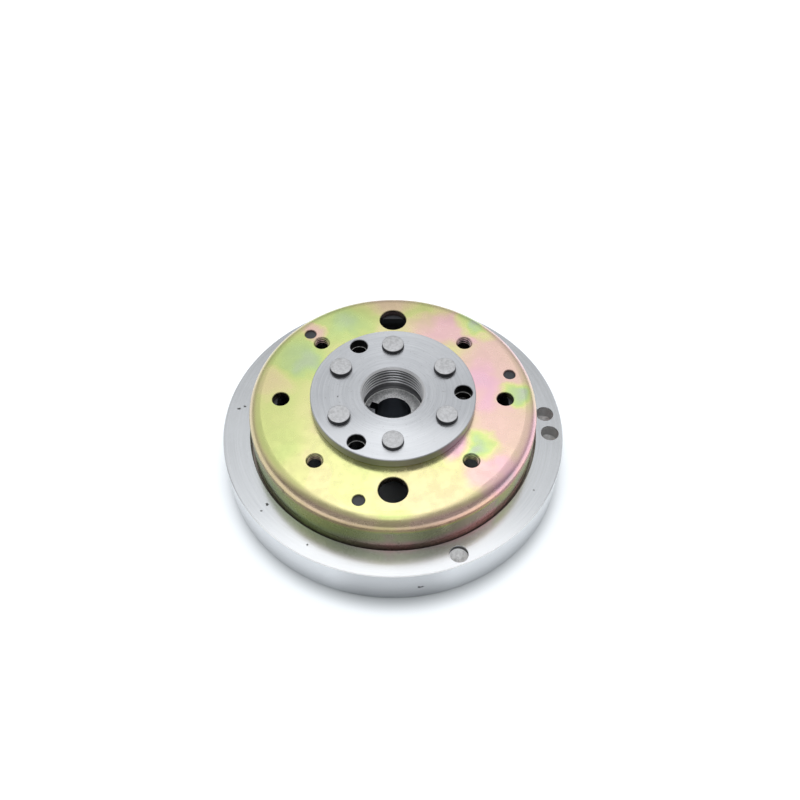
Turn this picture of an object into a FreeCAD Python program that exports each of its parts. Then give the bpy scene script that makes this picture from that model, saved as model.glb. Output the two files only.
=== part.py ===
"""Magneto flywheel of a small two-stroke engine.

A drawn steel cup carries a ring of magnets inside and is riveted to a turned steel hub. A heavy steel ring
is shrunk onto the open end of the cup to add inertia. The axis is Z, the hub faces +Z, and the origin is the
centre of the face that the ring stands on. All lengths are in millimetres and all angles in degrees.
"""

import FreeCAD, Part
import math
import os

import Sketcher

# Driving dimensions: the cell's alias, its value and what it is.
SIZES = [
    ("ring_diameter", 130.0, "outside of the inertia ring"),
    ("ring_height", 16.0, "inertia ring, and the height of its top face"),
    ("ring_bore", 109.2, "clearance bore in the upper part of the ring"),
    ("ring_seat_height", 12.0, "band at the foot of the ring that grips the cup"),
    ("ring_edge", 0.25, "bevel on the ring's turned edges"),
    ("cup_diameter", 107.5, "outside of the cup's skirt"),
    ("cup_top", 32.3, "height of the cup's flat outer face"),
    ("cup_rim", 0.8, "height of the cup's open rim"),
    ("cup_wall", 3.0, "sheet thickness of the cup"),
    ("cup_shoulder", 4.6, "outer radius of the drawn shoulder"),
    ("flange_diameter", 61.2, "hub flange"),
    ("flange_thickness", 4.0, "hub flange"),
    ("flange_edge", 0.3, "bevel on the hub's turned edges"),
    ("boss_diameter", 36.0, "hub boss, which fills the cup's centre hole"),
    ("boss_foot", 3.0, "height of the hub's lower end"),
    ("seat_depth", 12.0, "crank nut seat, below the flange's top face"),
    ("thread_diameter", 24.0, "puller thread, major diameter"),
    ("thread_minor", 22.5, "puller thread, minor diameter: the size drilled before tapping"),
    ("thread_pitch", 1.5, "puller thread"),
    ("thread_depth", 8.9, "puller thread, down to its run-out groove"),
    ("thread_bevel", 0.8, "bevel at the mouth of the puller thread"),
    ("runout_diameter", 24.4, "run-out groove under the puller thread"),
    ("runout_bevel", 0.6, "bevel between the run-out groove and the nut seat"),
    ("taper_large", 18.0, "crank taper at the hub's lower end"),
    ("taper_rate", 0.2, "crank taper, loss of diameter for each unit of height: 1 in 5"),
    ("key_width", 3.0, "keyway"),
    ("key_depth", 2.4, "keyway, from the wall of the taper"),
    ("key_angle", 157.5, "keyway, counted from +X"),
    ("rivet_circle", 45.0, "pitch circle of the rivets"),
    ("rivet_angle", 30.0, "first rivet, counted from +X"),
    ("rivet_shank", 5.0, "rivet shank and the holes it fills"),
    ("rivet_head", 7.8, "flat head on the hub side"),
    ("rivet_head_height", 1.7, "flat head on the hub side"),
    ("rivet_tail", 8.2, "head inside the cup"),
    ("rivet_tail_height", 2.0, "head inside the cup"),
    ("rivet_edge", 0.25, "bevel round the flat head"),
    ("rivet_tail_edge", 0.7, "bevel round the head inside the cup"),
    ("puller_circle", 52.0, "pitch circle of the three plain holes through the flange"),
    ("puller_hole", 6.75, "those holes in the flange"),
    ("puller_cup_hole", 6.4, "the same holes in the cup beneath"),
    ("window_circle", 80.0, "pitch circle of the two large holes in the cup"),
    ("window_hole", 10.5, "large holes in the cup"),
    ("access_circle", 83.5, "pitch circle of the two middle-sized holes in the cup"),
    ("access_hole", 6.3, "middle-sized holes in the cup"),
    ("peg_circle", 91.5, "pitch circle of the holes that hold the magnet cage's pegs"),
    ("peg_hole", 4.5, "peg holes in the cup"),
    ("peg_angle", 15.0, "first peg hole, counted from +X"),
    ("peg_recess", 0.9, "from the cup's face down to the peg's end"),
    ("bolt_circle", 78.5, "pitch circle of the four tapped holes in the cup"),
    ("bolt_angle", 45.0, "first tapped hole, counted from +X"),
    ("balance_drill", 6.8, "balance drillings in the ring"),
    ("balance_1_radius", 59.1, "first balance drilling"),
    ("balance_1_angle", 5.2, "first balance drilling"),
    ("balance_1_depth", 5.5, "first balance drilling"),
    ("balance_2_radius", 60.1, "second balance drilling"),
    ("balance_2_angle", -3.7, "second balance drilling"),
    ("balance_2_depth", 5.5, "second balance drilling"),
    ("balance_3_radius", 60.6, "third balance drilling"),
    ("balance_3_angle", -67.7, "third balance drilling"),
    ("balance_3_depth", 2.2, "third balance drilling"),
    ("drill_point", 118.0, "included angle of the drill's point"),
    ("hole_edge", 0.2, "broken edge of the holes in the cup and the flange"),
    ("magnet_count", 8, "magnets round the cup"),
    ("magnet_inner", 90.4, "inside of the magnet ring"),
    ("magnet_outer", 101.4, "outside of the magnet ring, a glue line inside the cup"),
    ("magnet_foot", 4.0, "height of the magnets' lower ends"),
    ("magnet_length", 22.5, "magnets, along the axis"),
    ("magnet_span", 39.5, "angle that one magnet covers"),
    ("magnet_bevel", 0.8, "bevel on the magnets' inner corners"),
    ("cage_inner", 86.8, "inside of the magnet cage's upper ring"),
    ("cage_lip_inner", 88.4, "inside of the cage's lips and lower ring"),
    ("cage_outer", 101.2, "outside of the cage's lower ring and ribs"),
    ("cage_shoulder", 98.2, "outside of the cage's upper ring, clear of the cup's corner"),
    ("cage_foot", 2.0, "height of the cage's lower end"),
    ("cage_gap", 0.1, "clearance between the cage and a magnet"),
    ("rib_span", 5.0, "angle that one cage rib covers"),
    ("lip_span", 9.0, "angle that one cage lip covers"),
]

# Heights and radii that several pieces share, as formulas on the sheet.
FLANGE_TOP = "(Size.cup_top + Size.flange_thickness)"
CUP_FLOOR = "(Size.cup_top - Size.cup_wall)"
CUP_INNER = "(Size.cup_diameter / 2 - Size.cup_wall)"
NUT_SEAT = "(Size.cup_top + Size.flange_thickness - Size.seat_depth)"
TAPER_SMALL = f"(Size.taper_large - Size.taper_rate * ({NUT_SEAT} - Size.boss_foot))"
THREAD_END = "(Size.cup_top + Size.flange_thickness - Size.thread_depth)"
THREAD_MINOR = "Size.thread_minor / 2"
MAGNET_TOP = "(Size.magnet_foot + Size.magnet_length)"
CAGE_STEP = "(Size.magnet_foot + Size.magnet_length + Size.cage_gap)"

RIVETS = 6
PULLER_HOLES = 3
WINDOWS = 2
PEGS = 3
BOLTS = 4
BALANCE_HOLES = 3
BOLT_THREAD = "M6x1.0"
BOLT_MOUTH = 6.4

doc = FreeCAD.newDocument("Flywheel")
sheet = doc.addObject("Spreadsheet::Sheet", "Size")
for row, (alias, value, note) in enumerate(SIZES, start=1):
    sheet.set(f"A{row}", str(value))
    sheet.set(f"B{row}", note)
    sheet.setAlias(f"A{row}", alias)
doc.recompute()


def number(formula):
    """Value of a formula on the sheet, as a plain number."""
    return float(sheet.evalExpression(formula.replace("Size.", "")))


def new_body(label):
    body = doc.addObject("PartDesign::Body", label)
    body.Label = label
    return body


def origin_item(body, role):
    """One of the body's own origin planes or axes."""
    return next(item for item in body.Origin.OriginFeatures if item.Role == role)


def new_sketch(body, name, role, turn="0", lift="0"):
    """Sketch on an origin plane of the body, turned about Z by turn and lifted along Z by lift."""
    sketch = body.newObject("Sketcher::SketchObject", name)
    sketch.AttachmentSupport = [(origin_item(body, role), "")]
    sketch.MapMode = "FlatFace"
    flat = role == "XY_Plane"
    axis = FreeCAD.Vector(0, 0, 1) if flat else FreeCAD.Vector(0, 1, 0)
    move = FreeCAD.Vector(0, 0, number(lift)) if flat else FreeCAD.Vector(0, number(lift), 0)
    sketch.AttachmentOffset = FreeCAD.Placement(move, FreeCAD.Rotation(axis, number(turn)))
    if turn != "0":
        sketch.setExpression("AttachmentOffset.Rotation.Angle", turn)
    if lift != "0":
        sketch.setExpression("AttachmentOffset.Base." + ("z" if flat else "y"), lift)
    return sketch


def fix_point(sketch, curve, end, x, y):
    """Ties a point of the sketch to two formulas. A formula of "0" puts it on the sketch's own axis."""
    for kind, formula, axis in (("DistanceX", x, -2), ("DistanceY", y, -1)):
        if formula == "0":
            sketch.addConstraint(Sketcher.Constraint("PointOnObject", curve, end, axis))
            continue
        index = sketch.addConstraint(Sketcher.Constraint(kind, curve, end, number(formula)))
        sketch.setExpression(f"Constraints[{index}]", formula)


def draw_outline(sketch, corners):
    """Closed outline of straight lines through the corners, each a pair of formulas."""
    places = [FreeCAD.Vector(number(x), number(y), 0) for x, y in corners]
    count = len(corners)
    for i in range(count):
        sketch.addGeometry(Part.LineSegment(places[i], places[(i + 1) % count]))
    for i in range(count):
        sketch.addConstraint(Sketcher.Constraint("Coincident", i, 2, (i + 1) % count, 1))
    for i, (x, y) in enumerate(corners):
        fix_point(sketch, i, 1, x, y)


def draw_circle(sketch, diameter, x, y):
    centre = FreeCAD.Vector(number(x), number(y), 0)
    circle = sketch.addGeometry(Part.Circle(centre, FreeCAD.Vector(0, 0, 1), number(diameter) / 2))
    fix_point(sketch, circle, 3, x, y)
    index = sketch.addConstraint(Sketcher.Constraint("Diameter", circle, number(diameter)))
    sketch.setExpression(f"Constraints[{index}]", diameter)


def finish_feature(body, feature, cuts):
    """Recomputes the feature and stops if it didn't change the body the way it should."""
    body.Tip = feature
    doc.recompute()
    base = feature.BaseFeature
    change = feature.Shape.Volume - (base.Shape.Volume if base else 0.0)
    if (cuts and change > -1e-3) or (not cuts and change < 1e-3):
        raise RuntimeError(f"{body.Label}.{feature.Name} changed the volume by {change:.4f} mm3")
    return feature


def revolve(body, name, corners, span="360", turn="0"):
    """Solid of revolution about Z, centred on the direction turn if it is less than a full turn."""
    sketch = new_sketch(body, name + "_outline", "XZ_Plane", turn)
    draw_outline(sketch, corners)
    feature = body.newObject("PartDesign::Revolution", name)
    feature.Profile = sketch
    feature.ReferenceAxis = (sketch, ["V_Axis"])
    feature.Midplane = span != "360"
    feature.Angle = number(span)
    feature.setExpression("Angle", span)
    return finish_feature(body, feature, cuts=False)


def drill_through(body, name, diameter, circle, turn):
    """One plain hole through the whole body, on a pitch circle."""
    sketch = new_sketch(body, name + "_place", "XY_Plane", turn)
    draw_circle(sketch, diameter, circle + " / 2", "0")
    feature = body.newObject("PartDesign::Pocket", name)
    feature.Profile = sketch
    feature.Type = "ThroughAll"
    feature.Midplane = True
    return finish_feature(body, feature, cuts=True)


def repeat_round(body, feature, count, cuts):
    """Repeats a feature evenly round Z."""
    pattern = body.newObject("PartDesign::PolarPattern", feature.Name + "_pattern")
    pattern.Originals = [feature]
    pattern.Axis = (origin_item(body, "Z_Axis"), [""])
    pattern.Angle = 360
    pattern.Occurrences = count
    return finish_feature(body, pattern, cuts)


def drill_ring(body, name, diameter, circle, turn, count):
    repeat_round(body, drill_through(body, name, diameter, circle, turn), count, cuts=True)


def round_edges(shape, wanted):
    """Names of the full circles at the wanted (diameter, height) pairs, each a pair of formulas."""
    targets = [(number(diameter) / 2, number(height)) for diameter, height in wanted]
    names = []
    for index, edge in enumerate(shape.Edges, start=1):
        if not isinstance(edge.Curve, Part.Circle) or not edge.isClosed():
            continue
        for radius, height in targets:
            near = abs(edge.Curve.Radius - radius) < 0.01 and abs(edge.Curve.Center.z - height) < 0.01
            if near:
                names.append(f"Edge{index}")
    if len(names) < len(targets):
        raise RuntimeError(f"found {len(names)} of at least {len(targets)} edges")
    return names


def dress_edges(body, kind, name, size, names, grows=False):
    """Fillet or Chamfer on named edges of the body as it stands."""
    base = body.Tip
    feature = body.newObject("PartDesign::" + kind, name)
    feature.Base = (base, names)
    measure = "Radius" if kind == "Fillet" else "Size"
    setattr(feature, measure, number(size))
    feature.setExpression(measure, size)
    return finish_feature(body, feature, cuts=not grows)


def build_inertia_ring():
    """Turned ring: a seat at its foot grips the cup, and a wider bore above leaves a slot round it."""
    body = new_body("inertia_ring")
    outside = "Size.ring_diameter / 2"
    seat = "Size.cup_diameter / 2"
    bore = "Size.ring_bore / 2"
    revolve(body, "ring", [
        (seat, "0"),
        (outside, "0"),
        (outside, "Size.ring_height"),
        (bore, "Size.ring_height"),
        (bore, "Size.ring_seat_height"),
        (seat, "Size.ring_seat_height"),
    ])
    edges = round_edges(body.Shape, [
        ("Size.ring_diameter", "0"),
        ("Size.ring_diameter", "Size.ring_height"),
        ("Size.ring_bore", "Size.ring_height"),
        ("Size.cup_diameter", "0"),
    ])
    dress_edges(body, "Chamfer", "turned_edges", "Size.ring_edge", edges)
    for hole in range(1, BALANCE_HOLES + 1):
        drill_balance_hole(body, f"balance_{hole}")
    return body


def drill_balance_hole(body, name):
    """Blind hole down from the ring's top face, with the cone that a twist drill leaves."""
    sketch = new_sketch(body, name + "_place", "XY_Plane", f"Size.{name}_angle", "Size.ring_height")
    draw_circle(sketch, "Size.balance_drill", f"Size.{name}_radius", "0")
    feature = body.newObject("PartDesign::Hole", name)
    feature.Profile = sketch
    doc.recompute()
    feature.ThreadType = "None"
    feature.setExpression("Diameter", "Size.balance_drill")
    feature.DepthType = "Dimension"
    feature.setExpression("Depth", f"Size.{name}_depth")
    feature.DrillPoint = "Angled"
    feature.setExpression("DrillPointAngle", "Size.drill_point")
    finish_feature(body, feature, cuts=True)


def build_rotor_cup():
    """Deep-drawn cup with its flat face up and its skirt reaching down into the inertia ring."""
    body = new_body("rotor_cup")
    outside = "Size.cup_diameter / 2"
    centre_hole = "Size.boss_diameter / 2"
    revolve(body, "shell", [
        (outside, "Size.cup_rim"),
        (outside, "Size.cup_top"),
        (centre_hole, "Size.cup_top"),
        (centre_hole, CUP_FLOOR),
        (CUP_INNER, CUP_FLOOR),
        (CUP_INNER, "Size.cup_rim"),
    ])
    outer_corner = round_edges(body.Shape, [("Size.cup_diameter", "Size.cup_top")])
    dress_edges(body, "Fillet", "shoulder", "Size.cup_shoulder", outer_corner)
    inner_corner = round_edges(body.Shape, [(CUP_INNER + " * 2", CUP_FLOOR)])
    inner_radius = "Size.cup_shoulder - Size.cup_wall"
    dress_edges(body, "Fillet", "inner_shoulder", inner_radius, inner_corner, grows=True)
    drill_ring(body, "rivet_hole", "Size.rivet_shank", "Size.rivet_circle", "Size.rivet_angle", RIVETS)
    drill_ring(body, "puller_hole", "Size.puller_cup_hole", "Size.puller_circle", "0", PULLER_HOLES)
    drill_ring(body, "window", "Size.window_hole", "Size.window_circle", "90", WINDOWS)
    drill_ring(body, "access_hole", "Size.access_hole", "Size.access_circle", "0", WINDOWS)
    drill_ring(body, "peg_hole", "Size.peg_hole", "Size.peg_circle", "Size.peg_angle", PEGS)
    edges = round_edges(body.Shape, [
        ("Size.window_hole", "Size.cup_top"),
        ("Size.access_hole", "Size.cup_top"),
        ("Size.peg_hole", "Size.cup_top"),
    ])
    dress_edges(body, "Chamfer", "hole_edges", "Size.hole_edge", edges)
    tap_bolt_holes(body)
    return body


def tap_bolt_holes(body):
    """Four tapped holes through the cup's face, with real threads and a small countersink."""
    sketch = new_sketch(body, "bolt_places", "XY_Plane", "0", "Size.cup_top")
    for hole in range(BOLTS):
        angle = f"Size.bolt_angle + {hole * 360 / BOLTS:g}"
        draw_circle(sketch, "5", f"Size.bolt_circle / 2 * cos({angle})", f"Size.bolt_circle / 2 * sin({angle})")
    feature = body.newObject("PartDesign::Hole", "tapped_holes")
    feature.Profile = sketch
    doc.recompute()
    feature.ThreadType = "ISOMetricProfile"
    feature.ThreadSize = BOLT_THREAD
    feature.Threaded = True
    feature.DepthType = "ThroughAll"
    feature.HoleCutType = "Countersink"
    feature.HoleCutCustomValues = True
    feature.HoleCutDiameter = BOLT_MOUTH
    feature.HoleCutCountersinkAngle = 90
    feature.ModelThread = True
    finish_feature(body, feature, cuts=True)


def build_hub():
    """Turned hub: flange on the cup's face, boss through it, crank taper, nut seat and puller thread."""
    body = new_body("hub")
    boss = "Size.boss_diameter / 2"
    flange = "Size.flange_diameter / 2"
    runout = "Size.runout_diameter / 2"
    revolve(body, "blank", [
        (THREAD_MINOR, FLANGE_TOP),
        (flange, FLANGE_TOP),
        (flange, "Size.cup_top"),
        (boss, "Size.cup_top"),
        (boss, "Size.boss_foot"),
        ("Size.taper_large / 2", "Size.boss_foot"),
        (TAPER_SMALL + " / 2", NUT_SEAT),
        (runout + " - Size.runout_bevel", NUT_SEAT),
        (runout, NUT_SEAT + " + Size.runout_bevel"),
        (runout, THREAD_END),
        (THREAD_MINOR, THREAD_END),
    ])
    edges = round_edges(body.Shape, [
        ("Size.flange_diameter", FLANGE_TOP),
        ("Size.flange_diameter", "Size.cup_top"),
        ("Size.boss_diameter", "Size.boss_foot"),
        ("Size.taper_large", "Size.boss_foot"),
    ])
    dress_edges(body, "Chamfer", "turned_edges", "Size.flange_edge", edges)
    mouth = round_edges(body.Shape, [("Size.thread_minor", FLANGE_TOP)])
    dress_edges(body, "Chamfer", "thread_mouth", "Size.thread_bevel", mouth)
    drill_ring(body, "rivet_hole", "Size.rivet_shank", "Size.rivet_circle", "Size.rivet_angle", RIVETS)
    drill_ring(body, "puller_hole", "Size.puller_hole", "Size.puller_circle", "0", PULLER_HOLES)
    edges = round_edges(body.Shape, [("Size.puller_hole", FLANGE_TOP)])
    dress_edges(body, "Chamfer", "hole_edges", "Size.hole_edge", edges)
    cut_keyway(body)
    cut_puller_thread(body)
    return body


def cut_keyway(body):
    """Slot along the wall of the crank taper, parallel to it and cut to one depth all the way down."""
    sketch = new_sketch(body, "keyway_outline", "XZ_Plane", "Size.key_angle")
    inside = TAPER_SMALL + " / 4"
    draw_outline(sketch, [
        (inside, "Size.boss_foot"),
        ("Size.taper_large / 2 + Size.key_depth", "Size.boss_foot"),
        (TAPER_SMALL + " / 2 + Size.key_depth", NUT_SEAT),
        (inside, NUT_SEAT),
    ])
    feature = body.newObject("PartDesign::Pocket", "keyway")
    feature.Profile = sketch
    feature.Type = "Length"
    feature.Midplane = True
    feature.setExpression("Length", "Size.key_width")
    finish_feature(body, feature, cuts=True)


def cut_puller_thread(body):
    """Internal metric thread: a groove of 60 degrees, cut as one helix from the run-out groove upwards.

    The groove's outline is drawn a little inside the minor radius, so that the cut is clean there.
    """
    flank = math.tan(math.radians(30))
    overlap = 0.25
    outer = "Size.thread_diameter / 2"
    inner = f"({THREAD_MINOR} - {overlap})"
    foot = f"({THREAD_END} - 1.15 * Size.thread_pitch)"
    outer_half = "Size.thread_pitch / 16"
    inner_half = f"({outer_half} + ({outer} - {inner}) * {flank:.6f})"
    sketch = new_sketch(body, "thread_outline", "XZ_Plane")
    draw_outline(sketch, [
        (inner, f"{foot} - {inner_half}"),
        (outer, f"{foot} - {outer_half}"),
        (outer, f"{foot} + {outer_half}"),
        (inner, f"{foot} + {inner_half}"),
    ])
    feature = body.newObject("PartDesign::SubtractiveHelix", "puller_thread")
    feature.Profile = sketch
    feature.ReferenceAxis = (sketch, ["V_Axis"])
    feature.Mode = "pitch-height-angle"
    feature.setExpression("Pitch", "Size.thread_pitch")
    feature.setExpression("Height", "Size.thread_depth + 2 * Size.thread_pitch")
    finish_feature(body, feature, cuts=True)


def build_rivet(index):
    """Solid rivet through flange and cup: a flat head on the hub side and a bevelled one inside."""
    body = new_body(f"hub_rivet_{index + 1}")
    head = "Size.rivet_head / 2"
    tail = "Size.rivet_tail / 2"
    shank = "Size.rivet_shank / 2"
    tail_end = CUP_FLOOR + " - Size.rivet_tail_height"
    head_end = FLANGE_TOP + " + Size.rivet_head_height"
    revolve(body, "rivet", [
        ("0", tail_end),
        (tail + " - Size.rivet_tail_edge", tail_end),
        (tail, tail_end + " + Size.rivet_tail_edge"),
        (tail, CUP_FLOOR),
        (shank, CUP_FLOOR),
        (shank, FLANGE_TOP),
        (head, FLANGE_TOP),
        (head, head_end + " - Size.rivet_edge"),
        (head + " - Size.rivet_edge", head_end),
        ("0", head_end),
    ])
    angle = f"(Size.rivet_angle + {index * 360 / RIVETS:g})"
    body.setExpression("Placement.Base.x", f"Size.rivet_circle / 2 * cos{angle}")
    body.setExpression("Placement.Base.y", f"Size.rivet_circle / 2 * sin{angle}")
    return body


def build_magnet(index, count):
    """Ferrite arc, magnetised through its thickness, with bevels on the corners that the cage holds."""
    body = new_body(f"magnet_{index + 1}")
    inside = "Size.magnet_inner / 2"
    outside = "Size.magnet_outer / 2"
    revolve(body, "arc", [
        (inside, "Size.magnet_foot"),
        (outside, "Size.magnet_foot"),
        (outside, MAGNET_TOP),
        (inside, MAGNET_TOP),
    ], span="Size.magnet_span")
    upright = [
        f"Edge{i}"
        for i, edge in enumerate(body.Shape.Edges, start=1)
        if is_upright(edge) and abs(distance_from_axis(edge) - number(inside)) < 0.01
    ]
    dress_edges(body, "Chamfer", "corners", "Size.magnet_bevel", upright)
    body.Placement = FreeCAD.Placement(
        FreeCAD.Vector(0, 0, 0), FreeCAD.Rotation(FreeCAD.Vector(0, 0, 1), index * 360 / count)
    )
    return body


def is_upright(edge):
    top, foot = edge.Vertexes[0].Point, edge.Vertexes[-1].Point
    return math.hypot(top.x - foot.x, top.y - foot.y) < 1e-6


def distance_from_axis(edge):
    point = edge.Vertexes[0].Point
    return math.hypot(point.x, point.y)


def build_magnet_cage(count):
    """Moulded cage: two rings joined by ribs between the magnets, and pegs that key it to the cup."""
    body = new_body("magnet_cage")
    upper_inside = "Size.cage_inner / 2"
    lip_inside = "Size.cage_lip_inner / 2"
    outside = "Size.cage_outer / 2"
    upper_outside = "Size.cage_shoulder / 2"
    lower_top = "(Size.magnet_foot - Size.cage_gap)"
    lip_outside = "(Size.magnet_inner / 2 - Size.cage_gap)"
    half_pitch = "180 / Size.magnet_count"
    revolve(body, "upper_ring", [
        (upper_inside, CAGE_STEP),
        (upper_outside, CAGE_STEP),
        (upper_outside, CUP_FLOOR),
        (upper_inside, CUP_FLOOR),
    ])
    rib = revolve(body, "rib", [
        (lip_inside, "Size.cage_foot"),
        (outside, "Size.cage_foot"),
        (outside, CAGE_STEP),
        (lip_inside, CAGE_STEP),
    ], span="Size.rib_span", turn=half_pitch)
    repeat_round(body, rib, count, cuts=False)
    lip = revolve(body, "lip", [
        (lip_inside, "Size.cage_foot"),
        (lip_outside, "Size.cage_foot"),
        (lip_outside, CAGE_STEP),
        (lip_inside, CAGE_STEP),
    ], span="Size.lip_span", turn=half_pitch)
    repeat_round(body, lip, count, cuts=False)
    revolve(body, "lower_ring", [
        (lip_inside, "Size.cage_foot"),
        (outside, "Size.cage_foot"),
        (outside, lower_top),
        (lip_inside, lower_top),
    ])
    sketch = new_sketch(body, "peg_place", "XY_Plane", "Size.peg_angle", CUP_FLOOR)
    draw_circle(sketch, "Size.peg_hole", "Size.peg_circle / 2", "0")
    peg = body.newObject("PartDesign::Pad", "peg")
    peg.Profile = sketch
    peg.setExpression("Length", "Size.cup_wall - Size.peg_recess")
    finish_feature(body, peg, cuts=False)
    repeat_round(body, peg, PEGS, cuts=False)
    return body


def check_document(bodies):
    """Stops if any object failed, or if a sub-part's shape can't be used."""
    for item in doc.Objects:
        if "Invalid" in item.State or "Error" in item.State:
            raise RuntimeError(f"{item.Label} failed: {item.State}")
    for body in bodies:
        if body.Shape.isNull() or not body.Shape.isValid() or not body.Shape.Solids:
            raise RuntimeError(f"{body.Label} has no valid solid")


def write_parts(bodies):
    os.makedirs("parts", exist_ok=True)
    for body in bodies:
        body.Shape.exportStep(os.path.join("parts", body.Label + ".step"))


magnet_count = int(number("Size.magnet_count"))
parts = [build_inertia_ring(), build_rotor_cup(), build_hub()]
parts += [build_rivet(index) for index in range(RIVETS)]
parts += [build_magnet(index, magnet_count) for index in range(magnet_count)]
parts += [build_magnet_cage(magnet_count)]
doc.recompute()
check_document(parts)
write_parts(parts)
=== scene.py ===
"""Blender scene of the magneto flywheel: materials, struck rivets, pale floor, soft light and camera.

The scene is in metres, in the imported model's frame: the axis is Z, the hub faces +Z and the ring stands on
z = 0. The materials find their places in millimetres from the axis and from the table.
"""

import math

import bmesh
import bpy
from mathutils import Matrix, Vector, noise


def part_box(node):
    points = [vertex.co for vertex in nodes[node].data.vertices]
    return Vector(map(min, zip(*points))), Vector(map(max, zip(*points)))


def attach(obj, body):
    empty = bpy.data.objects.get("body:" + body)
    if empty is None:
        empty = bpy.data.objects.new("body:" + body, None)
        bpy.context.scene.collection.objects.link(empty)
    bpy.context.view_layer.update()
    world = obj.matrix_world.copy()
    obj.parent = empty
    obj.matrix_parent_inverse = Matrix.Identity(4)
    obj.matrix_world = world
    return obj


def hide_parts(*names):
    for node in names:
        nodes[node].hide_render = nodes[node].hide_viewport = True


MM = 0.001


def grey(level):
    return (level, level, level, 1)


# Heights and radii in mm, as on the CAD model, that bound the finishes.
CUP_TOP = 32.3
CUP_FLOOR = 29.3
CUP_INNER = 50.75
RING_TOP = 16.0
RING_BORE = 54.6
RING_RADIUS = 65.0
FLANGE_RADIUS = 30.6
FLANGE_TOP = 36.3
HOLES_RADIUS = 15.0
MOUTH_RADIUS = 12.05
THREAD_RADIUS = 12.4
THREAD_CREST = 11.25
THREAD_END = 27.4
NUT_SEAT = 24.3
SEAT_RADIUS = 11.25
BORE_RADIUS = 12.0
BOLT_CREST = 2.5
BOLT_PLACE = 39.25 * math.sqrt(0.5)

# The camera looks along +Y and down at the middle of the cup's flat face.
CAMERA_TARGET = (0.0, 0.0, CUP_TOP * MM)
CAMERA_DISTANCE = 354.3 * MM
CAMERA_ELEVATION = math.radians(51.75)
CAMERA_LENS = 42.89
CAMERA_SENSOR = 36.0
CAMERA_SHIFT = (0.00875, -0.0015)

# Brightness of the room: the side behind the camera, the back wall, and how dim the walls are low down.
CAMERA_SIDE = 0.42
BACK_WALL = 0.93
WALL_TURN = (-0.3, 0.15)
HORIZON = 0.62
HORIZON_CLIMB = (0.1, 0.65)
ROOM_TINT = (0.97, 0.985, 1.0, 1)

# The softbox is a rectangle one unit overhead. Its half widths and half lengths say where it is full and
# where it ends. The lowest climb keeps it finite near the horizon.
SOFTBOX = 0.95
SOFTBOX_MIDDLE = -0.02
SOFTBOX_HALF_WIDTH = (0.13, 0.30)
SOFTBOX_HALF_LENGTH = (0.67, 0.81)
LOWEST_CLIMB = 0.05

# The light on the table, and the table top. The table has a painted shadow just in front of the ring's foot:
# inside the radii in mm, from a centre in metres.
FLOOR_LIGHT = 10.5
FLOOR_LIGHT_PLACE = (0.0, 0.1, 1.3)
FLOOR_LIGHT_SIZE = (1.1, 0.9)
FLOOR_WIDTH = 6.0
FLOOR_ROUGHNESS = 0.6
FLOOR_PALE = (0.90, 0.93, 0.955, 1)
FLOOR_SHADOW = (0.47, 0.495, 0.51, 1)
FLOOR_SHADE_CENTRE = (0.5 * MM, -5.5 * MM)
FLOOR_SHADE = (58.0, 66.5)

# Grey card between the camera and the object. Only the metal sees it, as a darker band low on its front.
CARD_DISTANCE = 150 * MM
CARD_WIDTH = 800 * MM
CARD_HEIGHT = 70 * MM
CARD_GREY = grey(0.36)

# A quarter turn: reflections spread across the lathe marks, not along them.
ACROSS_THE_MARKS = 0.25

# Scales of the noises, per metre: the larger, the finer.
CLOUD_SCALE = 45.0
PIT_SCALE = 420.0
SPECKLE_SCALE = 1800.0
SCAR_SCALE = 1400.0
TORN_SCALE = 900.0
SEAT_SCALE = 1300.0
MOTTLE_SCALE = 800.0
GRIT_SCALE = 2400.0
FILM_DRIFT_SCALE = 26.0
FILM_WARP_SCALES = (60.0, 75.0)
DUST_SCALE = 1500.0
SHEET_SCALE = 260.0
DARK_GRAIN_SCALE = 900.0
DARK_CLOUD_SCALE = 60.0

# Lathe marks: how fast they change round the axis, and their share of the steel's tone beside the clouds.
MARKS_ROUND = 1.5
MARKS_SHARE = 0.45

# Stains and pits of turned steel, and painted shade in the slot between ring and cup and in the hub's bore.
STAIN = (0.2, 0.19, 0.18, 1)
PIT = (0.06, 0.055, 0.05, 1)
SLOT_SHADE = (0.22, 0.185, 0.16, 1)
SLOT_SHADE_HEIGHTS = (RING_TOP - 0.7, RING_TOP - 1.6)
BORE_SHADE = (0.09, 0.10, 0.125, 1)

# Steel of the ring. Its top has a painted highlight towards the camera's side, and its outer wall is painted
# paler as painted light, except at the front, where painted shade keeps it darker. Two y values say where a
# change starts and ends, and two more numbers its strength there.
RING_STEEL = (0.475, 0.486, 0.50, 1)
RING_DARK_STEEL = (0.42, 0.43, 0.442, 1)
RING_FRONT_HIGHLIGHT = (0.70, 0.705, 0.715, 1)
RING_FRONT_HIGHLIGHT_SPAN = (-34.0, -56.0, 0.0, 0.55)
RING_WALL_PAINTED_LIGHT = (0.74, 0.755, 0.775, 1)
RING_WALL_FRONT_PAINTED_SHADE = (0.50, 0.51, 0.525, 1)
RING_WALL_SHADE_SPAN = (4.0 - RING_RADIUS, 0.5 - RING_RADIUS)
RING_METALLIC = 0.88
RING_ROUGHNESS = (0.17, 0.22)
RING_BRUSHED = 0.25
RING_MARKS_PITCH = 0.45
RING_STAIN = 0.25
# Painted highlight on the ring's outer top edge, only at the front (by y).
EDGE_HIGHLIGHT = grey(0.9)
EDGE_HIGHLIGHT_FRONT = (-25.0, -50.0)

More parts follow.
